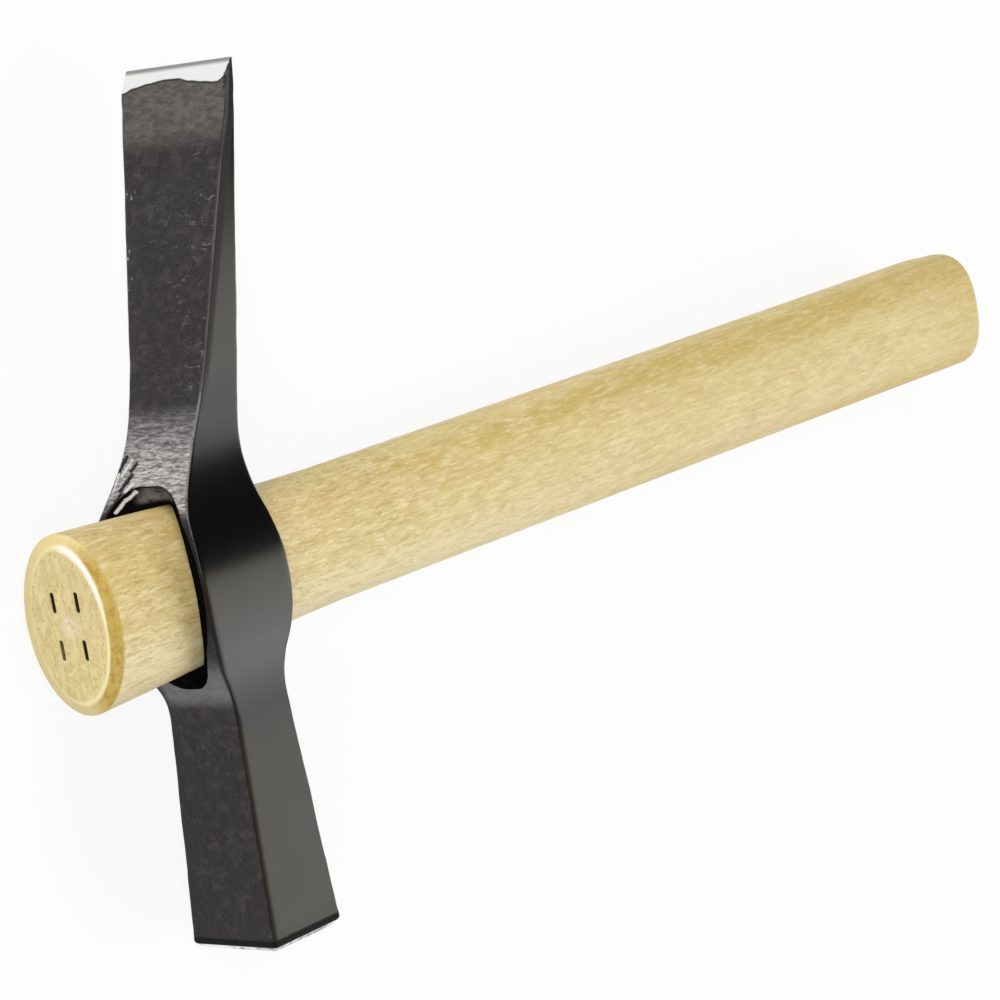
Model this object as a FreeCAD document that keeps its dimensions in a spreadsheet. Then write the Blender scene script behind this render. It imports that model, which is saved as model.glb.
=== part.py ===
import FreeCAD, Part
import math
import os
import Sketcher

# Bricklayer's hammer: a forged steel head on a tapered oval wooden handle.
# The hammer lies on one cheek. X runs along the handle towards the grip end, Y up the head
# towards the blade, and Z up, out of the other cheek. Lengths are in millimetres.
#
# The head is drawn in two views, as a forging is: its side outline (X, Y) has the swept blade,
# the bulging eye lips and the flared poll, and its front outline (Y, Z) has the wide cutting
# edge, the two cheeks and the necks between them. What both outlines hold is the head.
# The handle tapers towards the grip, so the head is slid over the grip end and jams
# where the oval grows, with a stub of the handle left standing out in front.

SIZES = {
    # head, lengths from the handle's axis
    "blade_reach": 110.0,
    "poll_reach": 81.4,
    # head, side outline: the striking face and the poll's neck
    "face_front": 10.7,
    "face_rear": 11.1,
    "poll_neck_front": 6.9,
    "poll_neck_at": 30.0,
    "poll_neck_radius": 17.0,
    # head, side outline: the eye's lips, which bulge forward
    "lip_reach": 17.0,
    "lip_radius": 36.0,
    "lip_above_axis": 1.5,
    "lip_blend_radius": 95.0,
    # head, side outline: the swept blade and its straight back
    "root_front": 1.4,
    "root_back": 11.2,
    "root_at": 36.0,
    "eye_back": 9.6,
    "sweep_radius": 80.0,
    "edge_rear": 23.4,
    "edge_flat": 0.8,
    "bevel_height": 4.6,
    "bevel_depth": 2.7,
    # head, front outline: half widths
    "edge_half": 16.0,
    "shoulder_drop": 11.0,
    "root_half": 10.75,
    "root_blend_radius": 38.0,
    "cheek_half": 18.6,
    "cheek_radius": 31.0,
    "poll_neck_half": 10.6,
    "poll_blend_radius": 22.0,
    "face_half": 12.75,
    # head, ground and broken edges
    "face_chamfer": 1.4,
    "arris_chamfer": 0.6,
    # eye: its mouth opens round the handle in two steps, each a rectangle with round corners
    "eye_clearance": 0.1,
    "throat_depth": 11.5,
    "throat_height": 41.8,
    "throat_width": 2.4,
    "throat_corner": 1.0,
    "brim_depth": 3.0,
    "brim_height": 50.8,
    "brim_width": 24.4,
    "brim_corner": 7.6,
    "mouth_height": 52.0,
    "mouth_width": 46.0,
    "mouth_corner": 9.6,
    # handle, stations from the head's middle along X
    "stub_length": 40.0,
    "waist_at": 40.0,
    "grip_end_at": 301.0,
    # handle, full height (along Y) and width (along Z) of its oval
    "front_height": 39.7,
    "front_width": 28.8,
    "waist_height": 31.0,
    "waist_width": 21.2,
    "grip_height": 31.5,
    "grip_width": 22.0,
    # handle, ends
    "front_chamfer_long": 1.2,
    "front_chamfer_deep": 3.1,
    "grip_chamfer": 2.2,
    # marks that the lathe's driver left in the front end
    "mark_length": 4.3,
    "mark_width": 1.0,
    "mark_depth": 1.6,
    "mark_pitch_high": 10.4,
    "mark_pitch_wide": 7.1,
    "centre_mark_radius": 1.0,
    "centre_mark_depth": 1.4,
    # how far a cutting tool runs past what it cuts
    "overrun": 3.0,
}

# The handle's flare from the waist to the front end: shares of that distance, and the shares
# of the growth in height and in width that are reached there.
FLARE_SHARES = ((0.0, 0.0, 0.0), (0.2, 0.1, 0.09), (0.4, 0.35, 0.3), (0.7, 0.717, 0.6), (1.0, 1.0, 1.0))

# How a sketch numbers the points of its lines and arcs.
VERTEX_START, VERTEX_END, VERTEX_CENTRE = range(1, 4)
ORIGIN_POINT = (-1, VERTEX_START)


def size(name):
    return SIZES[name]


def flat(x, y):
    return FreeCAD.Vector(x, y, 0)


def make_sheet(doc):
    """The driving sizes, one aliased cell each."""
    sheet = doc.addObject("Spreadsheet::Sheet", "sizes")
    for row, (name, value) in enumerate(SIZES.items(), start=1):
        sheet.set(f"A{row}", name)
        sheet.set(f"B{row}", str(value))
        sheet.setAlias(f"B{row}", name)
    doc.recompute()
    return sheet


def make_body(doc, label):
    """A body whose working origin, the crossing of handle and head, is lifted onto the floor."""
    body = doc.addObject("PartDesign::Body", label)
    body.Label = label
    body.setExpression("Placement.Base.x", "(sizes.stub_length - sizes.grip_end_at) / 2")
    body.setExpression("Placement.Base.y", "(sizes.poll_reach - sizes.blade_reach) / 2")
    body.setExpression("Placement.Base.z", "sizes.cheek_half")
    return body


def origin_plane(body, role):
    for feature in body.Origin.OriginFeatures:
        if feature.Role == role:
            return feature
    raise ValueError(f"no origin plane {role}")


def make_sketch(body, name, role, offset=None):
    """A sketch on one of the body's own origin planes, moved along its normal by an expression."""
    sketch = body.newObject("Sketcher::SketchObject", name)
    sketch.AttachmentSupport = [(origin_plane(body, role), "")]
    sketch.MapMode = "FlatFace"
    if offset is not None:
        sketch.setExpression("AttachmentOffset.Base.z", offset)
    return sketch


def drive(sketch, kind, where, value, name, expression):
    """Add a dimension and tie it to the sheet."""
    index = sketch.addConstraint(Sketcher.Constraint(kind, *where, value))
    sketch.renameConstraint(index, name)
    sketch.setExpression(f"Constraints.{name}", expression)


def drive_point(sketch, where, point, name, across, up):
    """Tie a point's two coordinates to the sheet."""
    drive(sketch, "DistanceX", where, point.x, f"{name}_x", across)
    drive(sketch, "DistanceY", where, point.y, f"{name}_y", up)


def vertex_at(sketch, index, point):
    """Which end of a line or arc lies at the point."""
    start = sketch.getPoint(index, VERTEX_START)
    end = sketch.getPoint(index, VERTEX_END)
    if (start - point).Length < (end - point).Length:
        return VERTEX_START
    return VERTEX_END


def draw_chain(sketch, pieces):
    """Draw a closed chain; each piece is (start, middle or None, whether it leaves smoothly)."""
    indices = []
    starts = [piece[0] for piece in pieces]
    ends = starts[1:] + starts[:1]
    for (start, middle, _), end in zip(pieces, ends):
        if middle is None:
            indices.append(sketch.addGeometry(Part.LineSegment(start, end), False))
        else:
            indices.append(sketch.addGeometry(Part.Arc(start, middle, end), False))
    followers = indices[1:] + indices[:1]
    for (_, _, smooth), index, follower, joint in zip(pieces, indices, followers, ends):
        kind = "Tangent" if smooth else "Coincident"
        leaving = vertex_at(sketch, index, joint)
        arriving = vertex_at(sketch, follower, joint)
        sketch.addConstraint(Sketcher.Constraint(kind, index, leaving, follower, arriving))
    return indices


def pass_through(sketch, line, point, name, across, up):
    """Make a line run through a named place, marked by a construction point."""
    mark = sketch.addGeometry(Part.Point(point), True)
    drive_point(sketch, (mark, VERTEX_START), point, name, across, up)
    sketch.addConstraint(Sketcher.Constraint("PointOnObject", mark, VERTEX_START, line))


def blend(far, near, centre, radius, blend_radius):
    """An arc that runs from the line far-near into a circle bulging through that line.

    Gives the point on the line, the arc's middle and the point on the circle.
    """
    along = (near - far).normalize()
    outward = flat(-along.y, along.x)
    if (centre - near).dot(outward) > 0:
        outward = outward * -1
    depth = (near - centre).dot(outward)
    foot = centre + outward * depth
    reach = math.sqrt((radius + blend_radius) ** 2 - (depth + blend_radius) ** 2)
    on_line = foot - along * reach
    middle_point = on_line + outward * blend_radius
    on_circle = centre + (middle_point - centre) * (radius / (radius + blend_radius))
    towards = ((on_line + on_circle) * 0.5 - middle_point).normalize()
    return on_line, middle_point + towards * blend_radius, on_circle


def corner_round(before, corner, after, radius):
    """An arc of the radius that rounds the corner: its start, middle and end."""
    back = (before - corner).normalize()
    on = (after - corner).normalize()
    half = math.acos(back.dot(on)) / 2
    reach = radius / math.tan(half)
    centre = corner + (back + on).normalize() * (radius / math.sin(half))
    middle = centre + (corner - centre).normalize() * radius
    return corner + back * reach, middle, corner + on * reach


def crossing(first, second, third, fourth):
    """Where the line through the first two points meets the line through the last two."""
    along = second - first
    other = fourth - third
    share = ((third.x - first.x) * other.y - (third.y - first.y) * other.x) / (
        along.x * other.y - along.y * other.x)
    return first + along * share


def add_side_outline(body):
    """The head seen along the width: poll, eye lips, swept blade, bevel and back."""
    sketch = make_sketch(body, "side_outline", "XY_Plane")
    face_front = flat(-size("face_front"), -size("poll_reach"))
    face_rear = flat(size("face_rear"), -size("poll_reach"))
    poll_neck = flat(-size("poll_neck_front"), -size("poll_neck_at"))
    lip_centre = flat(size("lip_radius") - size("lip_reach"), size("lip_above_axis"))
    root_front = flat(-size("root_front"), size("root_at"))
    root_back = flat(size("root_back"), size("root_at"))
    eye_back = flat(size("eye_back"), 0)
    edge_rear = flat(size("edge_rear"), size("blade_reach"))
    edge_front = flat(size("edge_rear") - size("edge_flat"), size("blade_reach"))
    bevel_foot = edge_front - flat(size("bevel_depth"), size("bevel_height"))

    low_line, low_middle, low_lip = blend(
        face_front, poll_neck, lip_centre, size("lip_radius"), size("poll_neck_radius"))
    high_line, high_middle, high_lip = blend(
        bevel_foot, root_front, lip_centre, size("lip_radius"), size("lip_blend_radius"))
    lip_tip = lip_centre - flat(size("lip_radius"), 0)
    bend = crossing(edge_rear, root_back, face_rear, eye_back)
    sweep_start, sweep_middle, sweep_end = corner_round(
        edge_rear, bend, face_rear, size("sweep_radius"))

    chain = draw_chain(sketch, [
        (face_front, None, True),
        (low_line, low_middle, True),
        (low_lip, lip_tip, True),
        (high_lip, high_middle, True),
        (high_line, None, False),
        (bevel_foot, None, False),
        (edge_front, None, False),
        (edge_rear, None, True),
        (sweep_start, sweep_middle, True),
        (sweep_end, None, False),
        (face_rear, None, False),
    ])
    poll_line, low_arc, lip_arc, high_arc, blade_line, bevel, flat_edge, back_line = chain[:8]
    sweep_arc, eye_line, face_line = chain[8:]

    drive_point(sketch, (poll_line, vertex_at(sketch, poll_line, face_front)), face_front,
                "face_front", "-sizes.face_front", "-sizes.poll_reach")
    drive(sketch, "DistanceX", (face_line, vertex_at(sketch, face_line, face_rear)), face_rear.x,
          "face_rear_x", "sizes.face_rear")
    sketch.addConstraint(Sketcher.Constraint("Horizontal", face_line))
    drive_point(sketch, (back_line, vertex_at(sketch, back_line, edge_rear)), edge_rear,
                "edge_rear", "sizes.edge_rear", "sizes.blade_reach")
    sketch.addConstraint(Sketcher.Constraint("Horizontal", flat_edge))
    drive(sketch, "Distance", (flat_edge,), size("edge_flat"), "edge_flat", "sizes.edge_flat")
    drive_point(sketch, (bevel, vertex_at(sketch, bevel, bevel_foot)), bevel_foot, "bevel_foot",
                "sizes.edge_rear - sizes.edge_flat - sizes.bevel_depth",
                "sizes.blade_reach - sizes.bevel_height")
    drive_point(sketch, (lip_arc, VERTEX_CENTRE), lip_centre, "lip_centre",
                "sizes.lip_radius - sizes.lip_reach", "sizes.lip_above_axis")
    drive(sketch, "Radius", (lip_arc,), size("lip_radius"), "lip_radius", "sizes.lip_radius")
    drive(sketch, "Radius", (low_arc,), size("poll_neck_radius"), "poll_neck_radius",
          "sizes.poll_neck_radius")
    drive(sketch, "Radius", (high_arc,), size("lip_blend_radius"), "lip_blend_radius",
          "sizes.lip_blend_radius")
    drive(sketch, "Radius", (sweep_arc,), size("sweep_radius"), "sweep_radius",
          "sizes.sweep_radius")
    pass_through(sketch, poll_line, poll_neck, "poll_neck",
                 "-sizes.poll_neck_front", "-sizes.poll_neck_at")
    pass_through(sketch, blade_line, root_front, "root_front",
                 "-sizes.root_front", "sizes.root_at")
    pass_through(sketch, back_line, root_back, "root_back", "sizes.root_back", "sizes.root_at")
    pass_through(sketch, eye_line, eye_back, "eye_back", "sizes.eye_back", "0")
    return sketch


def add_front_waste(body):
    """What lies outside the head on one side, seen from the front; its edge is the head's."""
    sketch = make_sketch(body, "front_waste", "YZ_Plane")
    over = size("overrun")
    outer = size("cheek_half") + over * 2
    tip = flat(size("blade_reach") + over, size("edge_half"))
    shoulder = flat(size("blade_reach") - size("shoulder_drop"), size("edge_half"))
    root = flat(size("root_at"), size("root_half"))
    cheek_centre = flat(0, size("cheek_half") - size("cheek_radius"))
    cheek_top = flat(0, size("cheek_half"))
    neck = flat(-size("poll_neck_at"), size("poll_neck_half"))
    face = flat(-size("poll_reach"), size("face_half"))
    low_y = -size("poll_reach") - over
    below = neck + (face - neck) * ((low_y - neck.x) / (face.x - neck.x))

    high_line, high_middle, high_cheek = blend(
        shoulder, root, cheek_centre, size("cheek_radius"), size("root_blend_radius"))
    low_line, low_middle, low_cheek = blend(
        face, neck, cheek_centre, size("cheek_radius"), size("poll_blend_radius"))

    chain = draw_chain(sketch, [
        (tip, None, False),
        (shoulder, None, True),
        (high_line, high_middle, True),
        (high_cheek, cheek_top, True),
        (low_cheek, low_middle, True),
        (low_line, None, False),
        (below, None, False),
        (flat(low_y, outer), None, False),
        (flat(tip.x, outer), None, False),
    ])
    tip_line, blade_line, high_arc, cheek_arc, low_arc, poll_line, low_side, outside, high_side = chain

    drive_point(sketch, (tip_line, vertex_at(sketch, tip_line, tip)), tip, "tip",
                "sizes.blade_reach + sizes.overrun", "sizes.edge_half")
    drive(sketch, "DistanceX", (tip_line, vertex_at(sketch, tip_line, shoulder)), shoulder.x,
          "shoulder_x", "sizes.blade_reach - sizes.shoulder_drop")
    sketch.addConstraint(Sketcher.Constraint("Horizontal", tip_line))
    pass_through(sketch, blade_line, root, "root", "sizes.root_at", "sizes.root_half")
    drive(sketch, "Radius", (high_arc,), size("root_blend_radius"), "root_blend_radius",
          "sizes.root_blend_radius")
    drive_point(sketch, (cheek_arc, VERTEX_CENTRE), cheek_centre, "cheek_centre",
                "0", "sizes.cheek_half - sizes.cheek_radius")
    drive(sketch, "Radius", (cheek_arc,), size("cheek_radius"), "cheek_radius",
          "sizes.cheek_radius")
    drive(sketch, "Radius", (low_arc,), size("poll_blend_radius"), "poll_blend_radius",
          "sizes.poll_blend_radius")
    pass_through(sketch, poll_line, neck, "neck", "-sizes.poll_neck_at", "sizes.poll_neck_half")
    pass_through(sketch, poll_line, face, "face", "-sizes.poll_reach", "sizes.face_half")
    drive(sketch, "DistanceX", (low_side, vertex_at(sketch, low_side, below)), low_y,
          "low_x", "-sizes.poll_reach - sizes.overrun")
    sketch.addConstraint(Sketcher.Constraint("Vertical", low_side))
    sketch.addConstraint(Sketcher.Constraint("Horizontal", outside))
    sketch.addConstraint(Sketcher.Constraint("Vertical", high_side))
    drive(sketch, "DistanceY", (outside, VERTEX_START), outer, "outer_y",
          "sizes.cheek_half + 2 * sizes.overrun")
    return sketch


def add_oval(body, name, station_text, height, width):
    """An oval section at a station along X; height (Y) and width (Z) as number, expression."""
    sketch = make_sketch(body, name, "YZ_Plane", station_text)
    oval = Part.Ellipse(flat(height[0] / 2, 0), flat(0, width[0] / 2), flat(0, 0))
    index = sketch.addGeometry(oval, False)
    sketch.exposeInternalGeometry(index)
    long_axis = index + 1
    short_axis = index + 2
    sketch.addConstraint(Sketcher.Constraint("Coincident", index, VERTEX_CENTRE, *ORIGIN_POINT))
    sketch.addConstraint(Sketcher.Constraint("Horizontal", long_axis))
    drive(sketch, "Distance", (long_axis,), height[0], "height", height[1])
    drive(sketch, "Distance", (short_axis,), width[0], "width", width[1])
    return sketch


def add_opening(body, name, station_text):
    """A round-cornered rectangle at a station along X, by the sizes that carry its name."""
    sketch = make_sketch(body, name, "YZ_Plane", station_text)
    radius = size(f"{name}_corner")
    corner = flat(size(f"{name}_height") / 2 - radius, size(f"{name}_width") / 2 - radius)
    pieces = []
    for high, wide in ((1, 1), (-1, 1), (-1, -1), (1, -1)):
        centre = flat(high * corner.x, wide * corner.y)
        by_height = centre + flat(high * radius, 0)
        by_width = centre + flat(0, wide * radius)
        middle = centre + flat(high, wide).normalize() * radius
        first, last = (by_height, by_width) if high == wide else (by_width, by_height)
        pieces += [(first, middle, True), (last, None, True)]
    chain = draw_chain(sketch, pieces)
    arcs, lines = chain[::2], chain[1::2]
    for line, kind in zip(lines, ("Horizontal", "Vertical", "Horizontal", "Vertical")):
        sketch.addConstraint(Sketcher.Constraint(kind, line))
    for arc in arcs[1:]:
        sketch.addConstraint(Sketcher.Constraint("Equal", arcs[0], arc))
    drive(sketch, "Radius", (arcs[0],), radius, "corner", f"sizes.{name}_corner")
    across = f"(sizes.{name}_height / 2 - sizes.{name}_corner)"
    up = f"(sizes.{name}_width / 2 - sizes.{name}_corner)"
    drive_point(sketch, (arcs[0], VERTEX_CENTRE), corner, "corner_high", across, up)
    drive_point(sketch, (arcs[2], VERTEX_CENTRE), corner * -1, "corner_low", f"-{across}", f"-{up}")
    return sketch


def add_loft(body, kind, name, sections, ruled):
    """A loft through sections, straight from one to the next if it is ruled."""
    loft = body.newObject(kind, name)
    loft.Profile = sections[0]
    loft.Sections = sections[1:]
    loft.Ruled = ruled
    body.Tip = loft
    body.Document.recompute()


def on_the_way(start_name, end_name, share):
    """The size that lies a share of the way from one size to another: number, expression."""
    start = size(start_name)
    value = start + share * (size(end_name) - start)
    return value, f"sizes.{start_name} + {share} * (sizes.{end_name} - sizes.{start_name})"


def flare_sections():
    """Ovals from the waist out to the front chamfer, each as station, height and width."""
    sections = []
    for along_share, height_share, width_share in FLARE_SHARES:
        station_text = (f"sizes.waist_at + {along_share}"
                        " * (sizes.front_chamfer_long - sizes.stub_length - sizes.waist_at)")
        sections.append((
            station_text,
            on_the_way("waist_height", "front_height", height_share),
            on_the_way("waist_width", "front_width", width_share)))
    return sections


def loft_flare(body, kind, name, gap, gap_text):
    """The handle's flared oval, added to the body or cut from it with a gap all round."""
    ovals = []
    for number, (station_text, height, width) in enumerate(flare_sections(), start=1):
        ovals.append(add_oval(
            body, f"{name}_oval_{number}", station_text,
            (height[0] + gap * 2, height[1] + gap_text),
            (width[0] + gap * 2, width[1] + gap_text)))
    add_loft(body, kind, name, ovals, False)
    return ovals


def add_mouth(body):
    """The eye's front mouth: a throat that widens round the handle, and a flatter brim at the lips."""
    throat = add_opening(body, "throat", "sizes.throat_depth - sizes.lip_reach")
    brim = add_opening(body, "brim", "sizes.brim_depth - sizes.lip_reach")
    mouth = add_opening(body, "mouth", "-sizes.lip_reach - sizes.overrun")
    add_loft(body, "PartDesign::SubtractiveLoft", "eye_mouth", [mouth, brim, throat], True)


def span(edge):
    """An edge's extent along X, Y and Z."""
    box = edge.BoundBox
    return box.XLength, box.YLength, box.ZLength


def edge_names(shape, test):
    """Names of the shape's edges that pass the test."""
    return [f"Edge{number}" for number, edge in enumerate(shape.Edges, start=1) if test(edge)]


def add_chamfer(body, name, test, expression):
    """Break the edges that pass the test, seen in the body's own frame."""
    base = body.Tip
    chamfer = body.newObject("PartDesign::Chamfer", name)
    chamfer.Base = (base, edge_names(base.Shape, test))
    chamfer.setExpression("Size", expression)
    body.Tip = chamfer
    body.Document.recompute()
    return chamfer


def round_striking_face(edge):
    """The four edges of the poll's square end."""
    return edge.BoundBox.YMax < -size("poll_reach") + size("face_chamfer") / 2


def long_arris(edge):
    """The long edges between front or back and the two sides, but none of the ground bevel."""
    across, along, _ = span(edge)
    runs_along = along > size("edge_flat") and along > across
    in_face = edge.BoundBox.YMax < -size("poll_reach") + size("face_chamfer") * 2
    in_bevel = edge.BoundBox.YMin > size("blade_reach") - size("bevel_height") * 1.5
    return runs_along and not in_face and not in_bevel


def make_head(doc):
    body = make_body(doc, "hammer_head")

    blank = body.newObject("PartDesign::Pad", "head_blank")
    blank.Profile = add_side_outline(body)
    blank.Midplane = True
    blank.setExpression("Length", "2 * (sizes.cheek_half + sizes.overrun)")

    side_cut = body.newObject("PartDesign::Pocket", "side_cut")
    side_cut.Profile = add_front_waste(body)
    side_cut.Type = "ThroughAll"
    side_cut.Midplane = True
    doc.recompute()

    both_sides = body.newObject("PartDesign::Mirrored", "both_sides")
    both_sides.Originals = [side_cut]
    both_sides.MirrorPlane = (origin_plane(body, "XY_Plane"), [""])
    body.Tip = both_sides
    doc.recompute()

    add_chamfer(body, "face_chamfer", round_striking_face, "sizes.face_chamfer")
    add_chamfer(body, "long_edges", long_arris, "sizes.arris_chamfer")

    loft_flare(body, "PartDesign::SubtractiveLoft", "eye",
               size("eye_clearance"), " + 2 * sizes.eye_clearance")
    add_mouth(body)
    return body


def add_marks(body):
    """Four slots round the centre of the front end."""
    sketch = make_sketch(body, "driver_marks", "YZ_Plane", "-sizes.stub_length")
    for up, high_sign in (("", 1), ("-", -1)):
        for out, wide_sign in (("", 1), ("-", -1)):
            near = flat(high_sign * (size("mark_pitch_high") - size("mark_length")) / 2,
                        wide_sign * (size("mark_pitch_wide") - size("mark_width")) / 2)
            far = flat(high_sign * (size("mark_pitch_high") + size("mark_length")) / 2,
                       wide_sign * (size("mark_pitch_wide") + size("mark_width")) / 2)
            name = f"mark_{'high' if high_sign > 0 else 'low'}_{'left' if wide_sign > 0 else 'right'}"
            chain = draw_chain(sketch, [
                (near, None, False),
                (flat(far.x, near.y), None, False),
                (far, None, False),
                (flat(near.x, far.y), None, False),
            ])
            for index, kind in zip(chain, ("Horizontal", "Vertical", "Horizontal", "Vertical")):
                sketch.addConstraint(Sketcher.Constraint(kind, index))
            drive_point(sketch, (chain[0], vertex_at(sketch, chain[0], near)), near, f"{name}_near",
                        f"{up}(sizes.mark_pitch_high - sizes.mark_length) / 2",
                        f"{out}(sizes.mark_pitch_wide - sizes.mark_width) / 2")
            drive_point(sketch, (chain[2], vertex_at(sketch, chain[2], far)), far, f"{name}_far",
                        f"{up}(sizes.mark_pitch_high + sizes.mark_length) / 2",
                        f"{out}(sizes.mark_pitch_wide + sizes.mark_width) / 2")
    pocket = body.newObject("PartDesign::Pocket", "marks")
    pocket.Profile = sketch
    pocket.setExpression("Length", "sizes.mark_depth")
    pocket.Reversed = True
    body.Tip = pocket
    body.Document.recompute()


def add_centre_mark(body):
    """The cone that the lathe's centre pressed into the front end."""
    sketch = make_sketch(body, "centre_mark_profile", "XY_Plane")
    rim = flat(-size("stub_length"), size("centre_mark_radius"))
    point = flat(size("centre_mark_depth") - size("stub_length"), 0)
    foot = flat(-size("stub_length"), 0)
    chain = draw_chain(sketch, [(foot, None, False), (rim, None, False), (point, None, False)])
    drive_point(sketch, (chain[0], vertex_at(sketch, chain[0], foot)), foot, "foot",
                "-sizes.stub_length", "0")
    sketch.addConstraint(Sketcher.Constraint("Vertical", chain[0]))
    sketch.addConstraint(Sketcher.Constraint("Horizontal", chain[2]))
    drive(sketch, "DistanceY", (chain[0], vertex_at(sketch, chain[0], rim)), rim.y, "radius",
          "sizes.centre_mark_radius")
    drive(sketch, "DistanceX", (chain[2], vertex_at(sketch, chain[2], point)), point.x, "depth",
          "sizes.centre_mark_depth - sizes.stub_length")
    groove = body.newObject("PartDesign::Groove", "centre_mark")
    groove.Profile = sketch
    groove.ReferenceAxis = (sketch, ["H_Axis"])
    groove.Angle = 360
    body.Tip = groove
    body.Document.recompute()


def smaller(name, chamfer):
    """A named size less a chamfer at both ends of it: number, expression."""
    return size(name) - size(chamfer) * 2, f"sizes.{name} - 2 * sizes.{chamfer}"


def make_handle(doc):
    body = make_body(doc, "handle")
    kind = "PartDesign::AdditiveLoft"
    flare_ovals = loft_flare(body, kind, "flare", 0, "")
    front_oval = add_oval(body, "front_oval", "-sizes.stub_length",
                          smaller("front_height", "front_chamfer_deep"),
                          smaller("front_width", "front_chamfer_deep"))
    add_loft(body, kind, "front_chamfer", [flare_ovals[-1], front_oval], True)
    grip_oval = add_oval(body, "grip_oval", "sizes.grip_end_at - sizes.grip_chamfer",
                         (size("grip_height"), "sizes.grip_height"),
                         (size("grip_width"), "sizes.grip_width"))
    add_loft(body, kind, "grip", [flare_ovals[0], grip_oval], True)
    end_oval = add_oval(body, "end_oval", "sizes.grip_end_at",
                        smaller("grip_height", "grip_chamfer"),
                        smaller("grip_width", "grip_chamfer"))
    add_loft(body, kind, "grip_chamfer", [grip_oval, end_oval], True)
    add_marks(body)
    add_centre_mark(body)
    return body


def check(doc, bodies):
    """Stop before writing anything if a feature failed or a piece isn't a sound solid."""
    for item in doc.Objects:
        if "Invalid" in item.State or "Error" in item.State:
            raise RuntimeError(f"{item.Name} failed: {item.State}")
    for body in bodies:
        if body.Shape.isNull() or not body.Shape.isValid() or len(body.Shape.Solids) != 1:
            raise RuntimeError(f"{body.Label} isn't one valid solid")


doc = FreeCAD.newDocument("bricklayer_hammer")
make_sheet(doc)
bodies = [make_head(doc), make_handle(doc)]
doc.recompute()
check(doc, bodies)

os.makedirs("parts", exist_ok=True)
for body in bodies:
    body.Shape.exportStep(f"parts/{body.Label}.step")
    print(body.Label, round(body.Shape.Volume), body.Shape.BoundBox)
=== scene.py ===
import math

import bmesh
import bpy
from mathutils import Matrix, Vector, noise


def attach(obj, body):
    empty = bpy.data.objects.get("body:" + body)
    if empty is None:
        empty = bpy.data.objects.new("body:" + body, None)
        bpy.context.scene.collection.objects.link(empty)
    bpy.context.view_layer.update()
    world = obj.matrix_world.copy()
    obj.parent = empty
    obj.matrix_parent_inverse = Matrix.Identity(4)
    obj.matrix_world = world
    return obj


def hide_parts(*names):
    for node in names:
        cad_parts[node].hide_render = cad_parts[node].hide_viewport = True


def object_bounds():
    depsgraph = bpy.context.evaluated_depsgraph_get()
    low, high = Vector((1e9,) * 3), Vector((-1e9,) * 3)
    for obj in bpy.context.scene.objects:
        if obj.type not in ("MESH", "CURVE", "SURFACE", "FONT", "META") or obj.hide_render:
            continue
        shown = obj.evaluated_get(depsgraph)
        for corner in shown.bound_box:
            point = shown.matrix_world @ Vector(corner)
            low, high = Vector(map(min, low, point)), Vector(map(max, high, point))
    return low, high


# Bricklayer's hammer lying on one cheek. X runs along the handle towards the grip end, Y up the
# head towards the blade, Z up. Sizes below are in millimetres from the crossing of handle and
# head; WORK_ORIGIN moves that crossing to its place in the frame.

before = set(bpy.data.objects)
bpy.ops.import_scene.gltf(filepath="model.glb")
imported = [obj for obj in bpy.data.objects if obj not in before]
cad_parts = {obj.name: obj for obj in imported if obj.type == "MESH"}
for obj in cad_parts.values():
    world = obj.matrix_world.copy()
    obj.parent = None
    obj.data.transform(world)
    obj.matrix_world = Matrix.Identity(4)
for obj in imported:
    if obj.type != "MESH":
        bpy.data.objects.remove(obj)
cad_low, cad_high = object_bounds()

MM = 0.001
WORK_ORIGIN = Vector((-130.5, -14.3, 18.6))
STUB_LENGTH = 40.0
WAIST_AT = 40.0
GRIP_END_AT = 301.0
FRONT_OVAL = (39.7, 28.8)
WAIST_OVAL = (31.0, 21.2)
GRIP_OVAL = (31.5, 22.0)
FLARE_SHARES = ((0.0, 0.0, 0.0), (0.2, 0.1, 0.09), (0.4, 0.35, 0.3), (0.7, 0.717, 0.6), (1.0, 1.0, 1.0))
BLADE_REACH = 110.0
POLL_REACH = 81.4
LIP_REACH = 17.0
LIP_RADIUS = 36.0
LIP_UP = 1.5
LIP_POLL_RADIUS = 17.0
LIP_BLADE_RADIUS = 95.0
SWEEP_RADIUS = 80.0
CHEEK_HALF = 18.6
CHEEK_RADIUS = 31.0
CHEEK_POLL_RADIUS = 22.0
CHEEK_BLADE_RADIUS = 38.0
NECK_UP = -30.0
ROOT_UP = 36.0
SHOULDER_UP = 99.0
CORNER_RADIUS = 0.8
EYE_CLEARANCE = 0.1

# The mouth of the eye, as round-cornered rectangles: station, height, width, corner radius
MOUTH = ((-5.5, 41.8, 2.4, 1.0), (-14.0, 50.8, 24.4, 7.6), (-20.0, 52.0, 46.0, 9.6))

# Edge breaks, as distance from the end and how far the outline draws in there. The stub's is a
# share of its chamfer, CHAMFER_UP high and CHAMFER_OUT wide.
FACE_EDGE = ((0.0, 1.4), (0.12, 1.22), (0.7, 0.7), (1.28, 0.12), (1.45, 0.03), (1.9, 0.0))
STUB_EDGE = ((0.0, 1.06), (0.02, 1.0), (0.1, 0.94), (0.3, 0.78), (0.6, 0.5), (0.9, 0.22),
             (1.08, 0.08), (1.3, 0.015), (1.8, 0.0))
GRIP_EDGE = ((1.7, 0.0), (1.4, 0.04), (1.1, 0.16), (0.6, 0.55), (0.25, 0.95), (0.06, 1.25), (0.0, 1.5))
CHAMFER_UP = 2.9
CHAMFER_OUT = 3.45
GRIP_SQUARENESS = 0.45
GRIP_DROP = 0.7

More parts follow.
